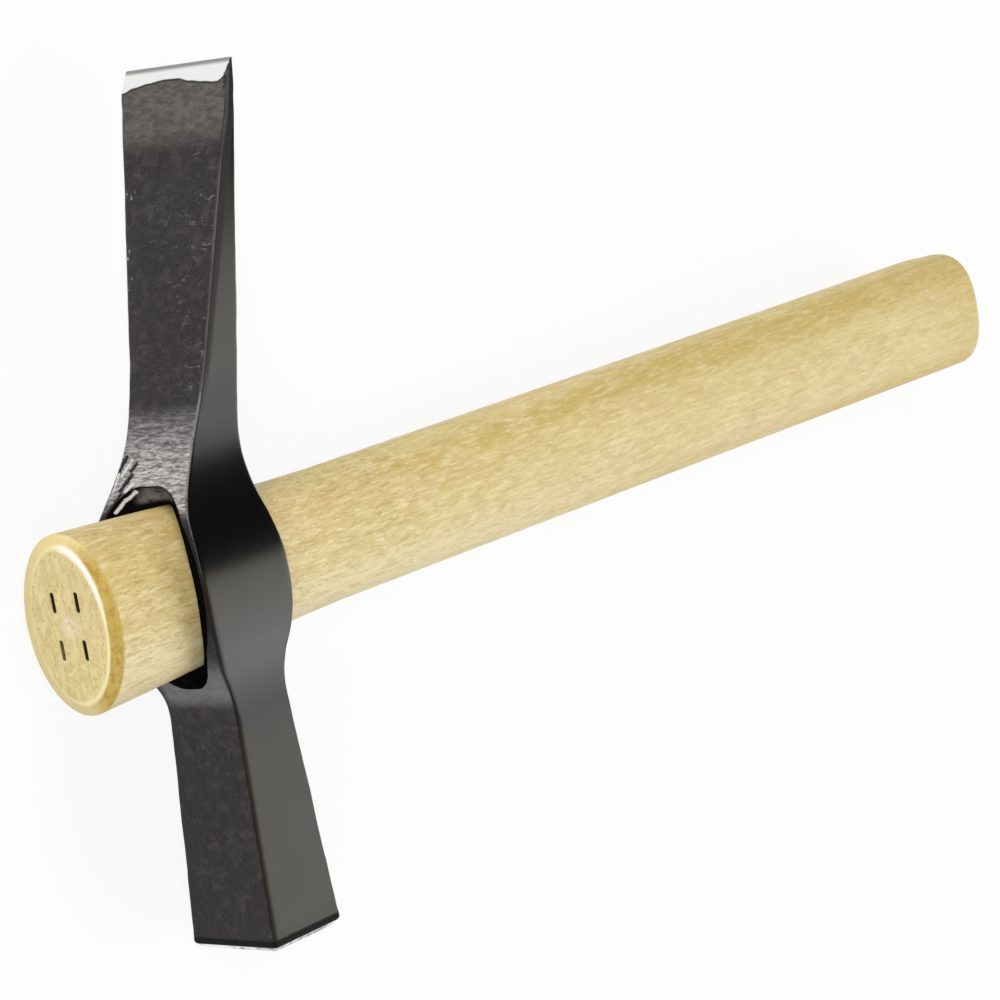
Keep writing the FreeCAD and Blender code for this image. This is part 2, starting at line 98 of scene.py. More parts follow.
# The slots and the centre mark in the stub's end: depth and half width, from outside inwards
SLOT_STEPS = ((-1.0, 0.72), (0.0, 0.62), (1.6, 0.40))
CENTRE_STEPS = ((-1.0, 1.75), (0.0, 1.0), (1.4, 0.12))
SLOT_UP = 5.2
SLOT_OUT = 3.55
SLOT_HALF_RUN = 1.65

# Points round each part of a ring
OVAL_COUNT = 160
ACROSS_COUNT = 46
DEEP_COUNT = 22
CORNER_COUNT = 4
MOUTH_CORNER_COUNT = 12
SLOT_COUNT = 24
CENTRE_COUNT = 32

# Studio, in metres
FLOOR_REACH = 6.0
FLOOR_GAP = 0.0002
LIT_PLACE = Vector((-0.08, 0.0, 0.02))
SENSOR_WIDTH = 36.0
FOCAL_PIXELS = 3872.41
IMAGE_PIXELS = 1000.0


# Outlines of the head

def blend(far, near, centre, radius, blend_radius):
    """Point on the line, arc centre and point on the circle of a hollow arc that joins them."""
    along = (near - far).normalized()
    outward = Vector((-along.y, along.x))
    if (centre - near).dot(outward) > 0:
        outward.negate()
    depth = (near - centre).dot(outward)
    foot = centre + outward * depth
    reach = math.sqrt((radius + blend_radius) ** 2 - (depth + blend_radius) ** 2)
    on_line = foot - along * reach
    middle = on_line + outward * blend_radius
    on_circle = centre + (middle - centre) * (radius / (radius + blend_radius))
    return on_line, middle, on_circle


def line_at(a, b, y):
    """x of the line through a and b at height y; points are (x, y)."""
    return a.x + (b.x - a.x) * (y - a.y) / (b.y - a.y)


def arc_at(centre, radius, side, y):
    return centre.x + side * math.sqrt(max(radius ** 2 - (y - centre.y) ** 2, 0.0))


def smoothstep(low, high, value):
    t = min(max((value - low) / (high - low), 0.0), 1.0)
    return t * t * (3 - 2 * t)


class HeadForm:
    """Front, back and half width of the head at each height y."""

    def __init__(self):
        self.face_front = Vector((-10.7, -POLL_REACH))
        self.neck_front = Vector((-6.9, NECK_UP))
        self.lip = Vector((LIP_RADIUS - LIP_REACH, LIP_UP))
        self.root_front = Vector((-1.4, ROOT_UP))
        self.bevel_foot = Vector((19.9, 105.4))
        self.bevel_top = Vector((22.6, BLADE_REACH))
        self.low = blend(self.face_front, self.neck_front, self.lip, LIP_RADIUS, LIP_POLL_RADIUS)
        self.high = blend(self.bevel_foot, self.root_front, self.lip, LIP_RADIUS, LIP_BLADE_RADIUS)
        self.face_back = Vector((11.1, -POLL_REACH))
        self.eye_back = Vector((9.6, 0.0))
        self.root_back = Vector((11.2, ROOT_UP))
        self.edge_back = Vector((23.4, BLADE_REACH))
        self.shoulder = Vector((16.0, SHOULDER_UP))
        self.root_side = Vector((10.75, ROOT_UP))
        self.cheek = Vector((CHEEK_HALF - CHEEK_RADIUS, 0.0))
        self.neck_side = Vector((10.6, NECK_UP))
        self.face_side = Vector((12.75, -POLL_REACH))
        self.side_high = blend(self.shoulder, self.root_side, self.cheek, CHEEK_RADIUS, CHEEK_BLADE_RADIUS)
        self.side_low = blend(self.face_side, self.neck_side, self.cheek, CHEEK_RADIUS, CHEEK_POLL_RADIUS)
        self.find_sweep()

    def find_sweep(self):
        """The back's arc between its straight blade part and the eye part."""
        a, b = self.edge_back, self.root_back
        c, d = self.face_back, self.eye_back
        along, other = b - a, d - c
        share = ((c.x - a.x) * other.y - (c.y - a.y) * other.x) / (along.x * other.y - along.y * other.x)
        corner = a + along * share
        up = (a - corner).normalized()
        down = (c - corner).normalized()
        half = math.acos(up.dot(down)) / 2
        self.sweep = corner + (up + down).normalized() * (SWEEP_RADIUS / math.sin(half))
        reach = SWEEP_RADIUS / math.tan(half)
        self.sweep_high = (corner + up * reach).y
        self.sweep_low = (corner + down * reach).y

    def bare_front(self, y):
        if y < self.low[0].y:
            return line_at(self.face_front, self.neck_front, y)
        if y < self.low[2].y:
            return arc_at(self.low[1], LIP_POLL_RADIUS, 1, y)
        if y < self.high[2].y:
            return arc_at(self.lip, LIP_RADIUS, -1, y)
        if y < self.high[0].y:
            return arc_at(self.high[1], LIP_BLADE_RADIUS, 1, y)
        return line_at(self.root_front, self.bevel_foot, y)

    def back(self, y):
        if y > self.sweep_high:
            return line_at(self.root_back, self.edge_back, y)
        if y < self.sweep_low:
            return line_at(self.eye_back, self.face_back, y)
        side = 1 if self.sweep.x < 0 else -1
        return arc_at(self.sweep, SWEEP_RADIUS, side, y)

    def half(self, y):
        if y > self.shoulder.y:
            return self.shoulder.x
        if y > self.side_high[0].y:
            return line_at(self.root_side, self.shoulder, y)
        if y > self.side_high[2].y:
            return arc_at(self.side_high[1], CHEEK_BLADE_RADIUS, -1, y)
        if y > self.side_low[2].y:
            return arc_at(self.cheek, CHEEK_RADIUS, 1, y)
        if y > self.side_low[0].y:
            return arc_at(self.side_low[1], CHEEK_POLL_RADIUS, -1, y)
        return line_at(self.neck_side, self.face_side, y)

    def ground_depth(self, z):
        """How far the ground bevel runs down from the edge at a place across it."""
        knots = ((-16, 4.9), (-12.5, 3.8), (-8, 3.25), (-3, 2.85), (1, 2.95), (5, 3.75),
                 (9, 4.25), (13.5, 4.7), (14.8, 4.2), (16, 1.2))
        for (z0, d0), (z1, d1) in zip(knots, knots[1:]):
            if z <= z1:
                return d0 + (d1 - d0) * smoothstep(z0, z1, z)
        return knots[-1][1]

    def hollow(self, y, z):
        """The blade's front is a little hollow, so the grinding stops higher in its middle."""
        depth = min(self.ground_depth(z), 4.6)
        return max(1.288 - 0.28 * depth, 0.0) * smoothstep(70.0, 104.0, y)

    def front(self, y, z):
        if y <= 60.0:
            return self.bare_front(y)
        face = line_at(self.root_front, self.bevel_foot, y) + self.hollow(y, z)
        return max(face, line_at(self.bevel_foot, self.bevel_top, y)) if y > 98.0 else face


HEAD = HeadForm()


# Meshes

def new_piece(name, points, faces):
    """A mesh object whose points are millimetres from the crossing of handle and head."""
    mesh = bpy.data.meshes.new(name)
    mesh.from_pydata([(Vector(p) + WORK_ORIGIN) * MM for p in points], [], faces)
    mesh.update()
    piece = bpy.data.objects.new(name, mesh)
    bpy.context.scene.collection.objects.link(piece)
    return piece


def tube_faces(rings, count, first_cap, last_cap):
    """Quads between rings of the same count, and a cap at either end."""
    faces = []
    for ring in range(rings - 1):
        low, high = ring * count, (ring + 1) * count
        for i in range(count):
            j = (i + 1) % count
            faces.append((low + i, low + j, high + j, high + i))
    if first_cap:
        faces.append(tuple(reversed(range(count))))
    if last_cap:
        faces.append(tuple(range((rings - 1) * count, rings * count)))
    return faces


def oval_ring(station, height, width, count, power=2.0):
    """An oval across the handle; above a power of 2 its corners fill out."""
    ring = []
    for i in range(count):
        angle = 2 * math.pi * i / count
        up, out = [math.copysign(abs(t) ** (2 / power), t) for t in (math.cos(angle), math.sin(angle))]
        ring.append((station, height / 2 * up, width / 2 * out))
    return ring


def natural_spline(knots, values, x):
    """A smooth curve through a few places, by Catmull and Rom's rule."""
    last = len(knots) - 1
    i = 0
    while i < last - 1 and x > knots[i + 1]:
        i += 1
    t = (x - knots[i]) / (knots[i + 1] - knots[i])
    slopes = []
    for k in (i, i + 1):
        before, after = max(k - 1, 0), min(k + 1, last)
        slopes.append((values[after] - values[before]) / (knots[after] - knots[before]))
    step = knots[i + 1] - knots[i]
    return ((2 * t ** 3 - 3 * t ** 2 + 1) * values[i] + (t ** 3 - 2 * t ** 2 + t) * step * slopes[0]
            + (3 * t ** 2 - 2 * t ** 3) * values[i + 1] + (t ** 3 - t ** 2) * step * slopes[1])


def oval_at(station):
    """Height and width of the handle's oval."""
    if station >= WAIST_AT:
        t = (station - WAIST_AT) / (GRIP_END_AT - WAIST_AT)
        return tuple(a + (b - a) * t for a, b in zip(WAIST_OVAL, GRIP_OVAL))
    share = (WAIST_AT - station) / (WAIST_AT + STUB_LENGTH - 1.2)
    knots = [row[0] for row in FLARE_SHARES]
    share = min(share, 1.0)
    grown = [natural_spline(knots, [row[k] for row in FLARE_SHARES], share) for k in (1, 2)]
    return tuple(w + (f - w) * g for w, f, g in zip(WAIST_OVAL, FRONT_OVAL, grown))


def opening_ring(station, height, width, radius):
    """A rectangle with round corners, across the handle at a station."""
    ring = []
    for quarter, (high, wide) in enumerate(((1, 1), (-1, 1), (-1, -1), (1, -1))):
        for k in range(MOUTH_CORNER_COUNT + 1):
            angle = math.pi / 2 * (quarter + k / MOUTH_CORNER_COUNT)
            ring.append((station, high * (height / 2 - radius) + radius * math.cos(angle),
                         wide * (width / 2 - radius) + radius * math.sin(angle)))
    return ring


def mouth_distance(p):
    """How far a place is outside the mouth's walls, negative inside them."""
    behind = max((p.x - MOUTH[0][0]) / 0.5, 0.0)
    inner, outer = MOUTH[:2] if p.x > MOUTH[1][0] else MOUTH[1:]
    share = max((p.x - inner[0]) / (outer[0] - inner[0]), 0.0)
    height, width, radius = [a + (b - a) * share for a, b in zip(inner[1:], outer[1:])]
    dy = abs(p.y) - height / 2 + radius
    dz = abs(p.z) - width / 2 + radius
    return math.hypot(max(dy, 0.0), max(dz, 0.0)) + min(max(dy, dz), 0.0) - radius + behind


def cut(piece, cutters):
    """Take the cutters out of the piece for good."""
    for cutter in cutters:
        modifier = piece.modifiers.new("cut", "BOOLEAN")
        modifier.operation = "DIFFERENCE"
        modifier.solver = "EXACT"
        modifier.object = cutter
    graph = bpy.context.evaluated_depsgraph_get()
    done = bpy.data.meshes.new_from_object(piece.evaluated_get(graph))
    piece.modifiers.clear()
    old = piece.data
    piece.data = done
    bpy.data.meshes.remove(old)
    for cutter in cutters:
        bpy.data.objects.remove(cutter)


def finish_mesh(piece, sharp_degrees):
    """Outward normals, smooth faces, and sharp edges where the surface turns abruptly."""
    work = bmesh.new()
    work.from_mesh(piece.data)
    bmesh.ops.remove_doubles(work, verts=work.verts, dist=1e-6)
    bmesh.ops.recalc_face_normals(work, faces=work.faces)
    limit = math.radians(sharp_degrees)
    for face in work.faces:
        face.smooth = True
    for edge in work.edges:
        edge.smooth = len(edge.link_faces) != 2 or edge.calc_face_angle(0.0) < limit
    work.to_mesh(piece.data)
    work.free()
    piece.data.update()


def add_values(piece, name, rule):
    """A number at every point, worked out from its place in millimetres, for the material."""
    attribute = piece.data.attributes.new(name, "FLOAT", "POINT")
    for vertex, item in zip(piece.data.vertices, attribute.data):
        item.value = rule(vertex.co / MM - WORK_ORIGIN, vertex.normal)


def spread(low, high, count):
    return [low + (high - low) * i / count for i in range(count)]


def head_ring(y, inset):
    """One level of the head: a rectangle with rounded corners, front first."""
    half = HEAD.half(y) - inset
    radius = CORNER_RADIUS if y < 100.0 else CORNER_RADIUS - 0.55 * smoothstep(100.0, 105.0, y)
    thick = HEAD.back(y) - HEAD.front(y, 0.0)
    radius = min(radius, thick * 0.24)
    turns = [math.pi / 2 * k / CORNER_COUNT for k in range(1, CORNER_COUNT + 1)]
    ring = []
    for z in spread(-half + radius, half - radius, ACROSS_COUNT) + [half - radius]:
        ring.append((HEAD.front(y, z) + inset, y, z))
    x_front = HEAD.front(y, half - radius) + inset
    x_back = HEAD.back(y) - inset
    for a in turns:
        ring.append((x_front + radius * (1 - math.cos(a)), y, half - radius * (1 - math.sin(a))))
    for x in spread(x_front + radius, x_back - radius, DEEP_COUNT)[1:] + [x_back - radius]:
        ring.append((x, y, half))
    for a in turns:
        ring.append((x_back - radius * (1 - math.sin(a)), y, half - radius * (1 - math.cos(a))))
    for z in spread(half - radius, -half + radius, ACROSS_COUNT)[1:] + [-half + radius]:
        ring.append((x_back, y, z))
    for a in turns:
        ring.append((x_back - radius * (1 - math.cos(a)), y, -half + radius * (1 - math.sin(a))))
    x_front = HEAD.front(y, -half + radius) + inset
    for x in spread(x_back - radius, x_front + radius, DEEP_COUNT)[1:] + [x_front + radius]:
        ring.append((x, y, -half))
    for a in turns[:-1]:
        ring.append((x_front + radius * (1 - math.sin(a)), y, -half + radius * (1 - math.cos(a))))
    return ring


def make_head():
    levels = [(-POLL_REACH + up, inset) for up, inset in FACE_EDGE]
    levels += [(y, 0.0) for y in spread(-78.5, 97.0, 176)]
    levels += [(y, 0.0) for y in spread(97.0, 104.0, 12)]
    levels += [(y, 0.0) for y in spread(104.0, BLADE_REACH - 0.25, 26)]
    levels += [(BLADE_REACH - 0.25, 0.0), (BLADE_REACH - 0.08, 0.05), (BLADE_REACH, 0.18)]
    rings = [head_ring(y, inset) for y, inset in levels]
    count = len(rings[0])
    points = [p for ring in rings for p in ring]
    head = new_piece("forged_head", points, tube_faces(len(rings), count, True, True))

    stations = [-48.0, -40.0, -34.0] + list(range(-30, 31, 2)) + [34.0, 40.0]
    eye_points = []
    for station in stations:
        height, width = oval_at(station)
        eye_points += oval_ring(station, height + 2 * EYE_CLEARANCE, width + 2 * EYE_CLEARANCE, OVAL_COUNT)
    eye = new_piece("eye_cut", eye_points, tube_faces(len(stations), OVAL_COUNT, True, True))

    mouth_points = [p for section in MOUTH for p in opening_ring(*section)]
    mouth_faces = tube_faces(len(MOUTH), len(mouth_points) // len(MOUTH), True, True)
    mouth = new_piece("mouth_cut", mouth_points, mouth_faces)
    for cutter in (eye, mouth):
        finish_mesh(cutter, 60)
    finish_mesh(head, 60)
    cut(head, [eye, mouth])
    finish_mesh(head, 28)
    for face in head.data.polygons:
        p = face.center / MM - WORK_ORIGIN
        in_mouth = p.x < -5.0 and mouth_distance(p) < 0.05
        face.material_index = 1 if in_mouth or in_eye(p) else 0
    roughen_forging(head)
    return head


def in_eye(p):
    """Whether a place lies on the eye's walls, which are a hair outside the handle."""
    height, width = oval_at(p.x)
    return abs(p.x) < 20.0 and math.hypot(p.y / (height / 2 + 0.3), p.z / (width / 2 + 0.3)) < 1


def outside_wood(p):
    """How far outside the handle a place is, as a share of the handle's radius there."""
    height, width = oval_at(p.x)
    return math.hypot(p.y / (height / 2), p.z / (width / 2)) - 1


def roughen_forging(head):
    """Slow waves, as a hammered and lacquered surface has, none on what is ground."""
    vertices = head.data.vertices
    normals = [vertex.normal.copy() for vertex in vertices]
    for vertex, normal in zip(vertices, normals):
        p = vertex.co / MM - WORK_ORIGIN
        bare = smoothstep(101.0, 104.0, p.y) + smoothstep(-77.0, -79.0, p.y)
        free = (1 - min(bare, 1.0)) * smoothstep(0.02, 0.2, outside_wood(p))
        flat = smoothstep(0.45, 0.8, math.hypot(normal.x, normal.y * 0.4))
        swell = noise.noise(p * 0.09) * (0.03 + 0.10 * flat)
        swell += noise.noise(p * 0.3 + Vector((7, 3, 1))) * 0.10 * flat
        vertex.co += normal * ((swell - 0.08) * free * MM)


def make_handle():
    rings = [(-STUB_LENGTH, share, STUB_EDGE[0][1]) for share in (0.06, 0.2, 0.4, 0.6, 0.8, 0.93)]
    rings += [(-STUB_LENGTH + along, 1.0, inset) for along, inset in STUB_EDGE]
    for station in spread(-37.4, WAIST_AT, 52) + spread(WAIST_AT, 180.0, 60):
        rings.append((station, 1.0, 0.0))
    points = []
    for station, share, inset in rings:
        height, width = oval_at(station)
        for i in range(OVAL_COUNT):
            angle = 2 * math.pi * i / OVAL_COUNT
            up, out = math.cos(angle), math.sin(angle)
            wobble = 1 + 0.09 * noise.noise(Vector((up * 1.3, out * 1.3, 5.0)))
            points.append((station, (height / 2 - CHAMFER_UP * wobble * inset) * share * up,
                           (width / 2 - CHAMFER_OUT * wobble * inset) * share * out))
    grip = [(station, 1.0, 0.0) for station in spread(180.0, GRIP_END_AT - GRIP_EDGE[0][0], 58)]
    grip += [(GRIP_END_AT - along, 1.0, inset) for along, inset in GRIP_EDGE]
    grip += [(GRIP_END_AT, share, GRIP_EDGE[-1][1]) for share in (0.8, 0.5, 0.2)]
    for station, share, inset in grip:
        height, width = oval_at(station)
        power = 2.0 + GRIP_SQUARENESS * smoothstep(180.0, 300.0, station)
        drop = GRIP_DROP * smoothstep(286.0, 300.0, station)
        high, wide = (height - 2 * inset) * share, (width - 2 * inset) * share
        ring = oval_ring(station, high, wide, OVAL_COUNT, power)
        points += [(x, y - drop * max(y, 0.0) / (height / 2), z) for x, y, z in ring]
    handle_faces = tube_faces(len(points) // OVAL_COUNT, OVAL_COUNT, True, True)
    handle = new_piece("wooden_handle", points, handle_faces)
    finish_mesh(handle, 60)

    cutters = []
    for up in (1, -1):
        for out in (1, -1):
            cutters.append(make_slot(up, out))
    centre = []
    for along, radius in CENTRE_STEPS:
        centre += oval_ring(-STUB_LENGTH + along, radius * 2, radius * 2, CENTRE_COUNT)
    centre_faces = tube_faces(len(CENTRE_STEPS), CENTRE_COUNT, True, True)
    cutters.append(new_piece("centre_cut", centre, centre_faces))
    for cutter in cutters:
        finish_mesh(cutter, 60)
    cut(handle, cutters)
    finish_mesh(handle, 32)
    return handle


def make_slot(up, out):
    """A narrow slot with round ends, a little narrower at its bottom; up and out are 1 or -1."""
    points = []
    for along, radius in SLOT_STEPS:
        for i in range(SLOT_COUNT):
            angle = 2 * math.pi * i / SLOT_COUNT
            shift = SLOT_HALF_RUN if math.cos(angle) > 0 else -SLOT_HALF_RUN
            points.append((-STUB_LENGTH + along, up * SLOT_UP + shift + radius * math.cos(angle),
                           out * SLOT_OUT + radius * math.sin(angle) + 0.05 * up * out))
    return new_piece("slot_cut", points, tube_faces(len(SLOT_STEPS), SLOT_COUNT, True, True))


# Materials

class Shader:
    """Short names for the nodes of one material."""

    def __init__(self, name):
        self.material = bpy.data.materials.new(name)
        self.material.use_nodes = True
        self.tree = self.material.node_tree
        self.surface = self.tree.nodes["Principled BSDF"]
        coordinates = self.tree.nodes.new("ShaderNodeTexCoord")
        place = self.add("ShaderNodeVectorMath", operation="MULTIPLY_ADD")
        self.link(coordinates.outputs["Object"], place.inputs[0])
        place.inputs[1].default_value = (1000.0, 1000.0, 1000.0)
        place.inputs[2].default_value = tuple(-WORK_ORIGIN)
        self.place = place.outputs[0]
        split = self.add("ShaderNodeSeparateXYZ")
        self.link(self.place, split.inputs[0])
        self.x, self.y, self.z = split.outputs

    def add(self, kind, **settings):
        node = self.tree.nodes.new(kind)
        for key, value in settings.items():
            setattr(node, key, value)
        return node

    def link(self, source, target):
        self.tree.links.new(source, target)

    def feed(self, value, target):
        """Set a socket from a number, a colour or another node's output."""
        if isinstance(value, bpy.types.NodeSocket):
            self.link(value, target)
        elif isinstance(value, (tuple, list)):
            target.default_value = tuple(value) + (1.0,) if len(value) == 3 else tuple(value)
        else:
            target.default_value = value

    def math(self, operation, a, b=0.0, c=0.0, clamp=False):
        node = self.add("ShaderNodeMath", operation=operation, use_clamp=clamp)
        for value, target in zip((a, b, c), node.inputs):
            self.feed(value, target)
        return node.outputs[0]

    def ramp(self, value, low, high, start=0.0, end=1.0):
        """A smooth step of a value from low to high."""
        node = self.add("ShaderNodeMapRange", interpolation_type="SMOOTHSTEP")
        for v, target in zip((value, low, high, start, end), node.inputs):
            self.feed(v, target)
        return node.outputs[0]

    def scaled(self, kind, scale, shift):
        """A texture over millimetres, scaled along X, Y and Z and then shifted."""
        mapping = self.add("ShaderNodeVectorMath", operation="MULTIPLY_ADD")
        self.link(self.place, mapping.inputs[0])
        mapping.inputs[1].default_value = scale
        mapping.inputs[2].default_value = shift
        node = self.add(kind)
        self.link(mapping.outputs[0], node.inputs["Vector"])
        node.inputs["Scale"].default_value = 1.0
        return node

    def noise(self, scale, detail=3.0, rough=0.55, shift=(0, 0, 0), distortion=0.0):
        """Noise; scale is one number, or one for each of X, Y and Z."""
        if isinstance(scale, (int, float)):
            scale = (scale, scale, scale)
        node = self.scaled("ShaderNodeTexNoise", scale, shift)
        node.inputs["Detail"].default_value = detail
        node.inputs["Roughness"].default_value = rough
        node.inputs["Distortion"].default_value = distortion
        return node.outputs[0]

    def cells(self, scale, shift):
        """Distance to scattered points, for spots."""
        return self.scaled("ShaderNodeTexVoronoi", scale, shift).outputs["Distance"]

    def bars(self, places, inner, outer, wander):
        """Ragged bars from one (y, z) to another, in millimetres, fading from inner to outer."""
        plane = self.add("ShaderNodeVectorMath", operation="MULTIPLY")
        self.link(self.place, plane.inputs[0])
        plane.inputs[1].default_value = (0.0, 1.0, 1.0)
        nearest = None
        for y0, z0, y1, z1 in places:
            span = Vector((0.0, y1 - y0, z1 - z0))
            away = self.add("ShaderNodeVectorMath", operation="SUBTRACT")
            self.link(plane.outputs[0], away.inputs[0])
            away.inputs[1].default_value = (0.0, y0, z0)
            share = self.add("ShaderNodeVectorMath", operation="DOT_PRODUCT")
            self.link(away.outputs[0], share.inputs[0])
            share.inputs[1].default_value = span / span.length_squared
            share = self.math("MULTIPLY", share.outputs["Value"], 1.0, clamp=True)
            foot = self.add("ShaderNodeVectorMath", operation="SCALE")
            foot.inputs[0].default_value = span
            self.link(share, foot.inputs["Scale"])
            rest = self.add("ShaderNodeVectorMath", operation="DISTANCE")
            self.link(away.outputs[0], rest.inputs[0])
            self.link(foot.outputs[0], rest.inputs[1])
            distance = rest.outputs["Value"]
            nearest = distance if nearest is None else self.math("MINIMUM", nearest, distance)
        nearest = self.math("ADD", nearest, self.math("MULTIPLY_ADD", wander, 1.4, -0.7))
        return self.ramp(nearest, outer, inner)

    def mix(self, factor, a, b):
        node = self.add("ShaderNodeMix", data_type="RGBA")
        self.feed(factor, node.inputs[0])
        self.feed(a, node.inputs[6])
        self.feed(b, node.inputs[7])
        return node.outputs[2]

    def product(self, *factors):
        result = factors[0]
        for factor in factors[1:]:
            result = self.math("MULTIPLY", result, factor)
        return result

    def value(self, name):
        return self.add("ShaderNodeAttribute", attribute_name=name).outputs["Fac"]

    def bump(self, height, distance, strength, below=None):
        node = self.add("ShaderNodeBump")
        node.inputs["Strength"].default_value = strength
        node.inputs["Distance"].default_value = distance * MM
        self.link(height, node.inputs["Height"])
        if below is not None:
            self.link(below, node.inputs["Normal"])
        return node.outputs[0]

    def set(self, **values):
        for key, value in values.items():
            self.feed(value, self.surface.inputs[key.replace("_", " ")])


def steel_material():
    s = Shader("black_forged_steel")
    ground = s.ramp(s.value("ground"), -0.02, 0.03)
    struck = s.ramp(s.value("struck"), 0.4, 0.6)
    bare = s.math("MAXIMUM", ground, struck)
    flat = s.value("front_back")
    arris = s.value("arris")
    strip = s.value("strip")
    before = s.ramp(s.x, 2.0, -1.0)
    leaning = s.math("SUBTRACT", s.x, s.math("MULTIPLY_ADD", s.y, 0.236, -3.6))
    blade_front = s.product(s.ramp(leaning, 1.0, -1.0), flat)
    foot = s.ramp(s.y, -78.4, -79.1)

    cloud = s.noise(0.07, 3.0, 0.6)
    tint = s.noise(0.045, 2.0, 0.5, (4, 9, 2))
    peel = s.noise((0.55, 0.75, 0.55), 5.0, 0.62, (3.1, 0.7, 8.2), 1.0)
    scale = s.noise((0.16, 0.42, 0.30), 4.0, 0.62, (5, 2, 1), 0.6)
    fine = s.noise(2.6, 3.0, 0.6)

    # forged front and back: brownish black, bluish in places, olive grey under the bevel
    front = s.mix(cloud, (0.0050, 0.0026, 0.0034), (0.022, 0.0150, 0.0180))
    front = s.mix(s.product(s.ramp(tint, 0.54, 0.70), 0.35), front, (0.009, 0.012, 0.017))
    front = s.mix(s.product(s.ramp(s.y, -30.0, -38.0), 0.6), front, (0.004, 0.0010, 0.0022))
    front = s.mix(s.product(s.ramp(scale, 0.46, 0.68), 0.42), front, (0.066, 0.052, 0.057))
    mill = s.noise((0.45, 0.75, 0.34), 5.0, 0.65, (2, 3, 9), 0.3)
    olive = s.mix(s.ramp(mill, 0.38, 0.62), (0.066, 0.058, 0.051), (0.125, 0.114, 0.100))
    front = s.mix(s.product(s.ramp(s.y, 91.0, 97.0), blade_front, 0.92), front, olive)
    # painted shade: a dark line just below the foot of the ground bevel
    shade_under_bevel = s.product(s.ramp(s.value("ground"), -0.16, -0.07), s.ramp(s.y, 97.5, 99.0))
    front = s.mix(s.product(shade_under_bevel, 0.85), front, (0.006, 0.005, 0.005))
    # painted shade: the lip's front beside the mouth of the eye made near black
    shade_beside_mouth = s.product(s.ramp(s.y, 19.0, 14.0), s.ramp(s.y, -17.0, -12.0))
    front = s.mix(shade_beside_mouth, front, (0.0012, 0.0010, 0.0012))

    # sides: smooth lacquer, duller and browner along the blade's front edges
    # painted shade: the sides made near black on the upper cheek and on the neck under the eye, where the
    # lacquer mirrors only darkness
    cheek = s.product(s.ramp(s.y, 2.5, 6.5), s.ramp(s.y, 48.0, 37.0))
    cheek = s.math("MAXIMUM", cheek, s.product(s.ramp(s.y, -5.0, -14.0), s.ramp(s.y, -38.0, -26.0)))
    side = s.mix(cloud, (0.0150, 0.0110, 0.0010), (0.0195, 0.0150, 0.0040))
    side = s.mix(cheek, side, (0.0006, 0.0003, 0.0004))
    # painted shade: the sides darker towards the blade's edge
    side = s.mix(s.ramp(s.y, 78.0, 100.0), side, (0.0010, 0.0008, 0.0008))
    side = s.mix(strip, side, (0.013, 0.009, 0.011))
    paint = s.mix(flat, side, front)

    # low ridges where the skin is rubbed, on the near half of the blade's front
    marks = s.noise((0.40, 1.25, 0.42), 3.0, 0.5, (6, 2, 5), 0.9)
    sparse = s.product(s.ramp(s.noise(0.085, 2.0, 0.5, (9, 1, 4)), 0.36, 0.54), flat)
    sparse = s.product(sparse, s.ramp(s.y, 38.0, 44.0), s.ramp(s.z, -4.0, 6.0, 0.25, 1.0))
    mark = s.product(s.ramp(marks, 0.57, 0.66), sparse)
    paint = s.mix(s.product(mark, 0.68), paint, (0.18, 0.165, 0.170))

    # a few small chips along the far edge of the blade's front
    chips = s.ramp(s.cells((0.45, 0.30, 0.45), (0.0, -2.4, 0.0)), 0.22, 0.10)
    chips = s.product(chips, s.ramp(s.z, -9.6, -11.8), s.ramp(s.y, 62.0, 66.0), s.ramp(s.y, 86.0, 82.0))
    chips = s.product(chips, blade_front, s.ramp(peel, 0.40, 0.60))
    paint = s.mix(s.product(chips, 0.9), paint, (0.50, 0.49, 0.50))

    # rough grey band above the eye, brightest beside its mouth
    streaks = s.noise((0.5, 1.15, 0.20), 4.0, 0.62, (0, 4, 2), 0.35)
    pattern = s.math("ADD", s.product(streaks, 2.6), s.math("MULTIPLY_ADD", fine, 1.1, -1.35))
    amount = s.math("DIVIDE", s.math("SUBTRACT", 39.2, s.y), 14.4, clamp=True)
    amount = s.product(amount, flat, before)
    amount = s.product(amount, s.ramp(s.y, 16.0, 20.5))
    shown = s.math("MULTIPLY", amount, s.math("MULTIPLY_ADD", pattern, 1.2, 0.45), clamp=True)
    torn = s.ramp(s.noise((0.9, 2.1, 0.42), 4.0, 0.68, (3, 8, 1), 0.5), 0.36, 0.64)
    paint = s.mix(shown, paint, s.mix(torn, (0.165, 0.158, 0.152), (0.66, 0.64, 0.62)))

    # fillet under the eye, painted light grey as a painted highlight where it faces up
    fillet = s.product(s.ramp(s.y, -28.0, -24.0), s.ramp(s.y, -14.0, -20.0), flat, before)
    fillet = s.product(fillet, s.ramp(scale, 0.20, 0.55, 0.6, 1.0))
    paint = s.mix(s.product(fillet, 0.9), paint, (0.205, 0.202, 0.198))

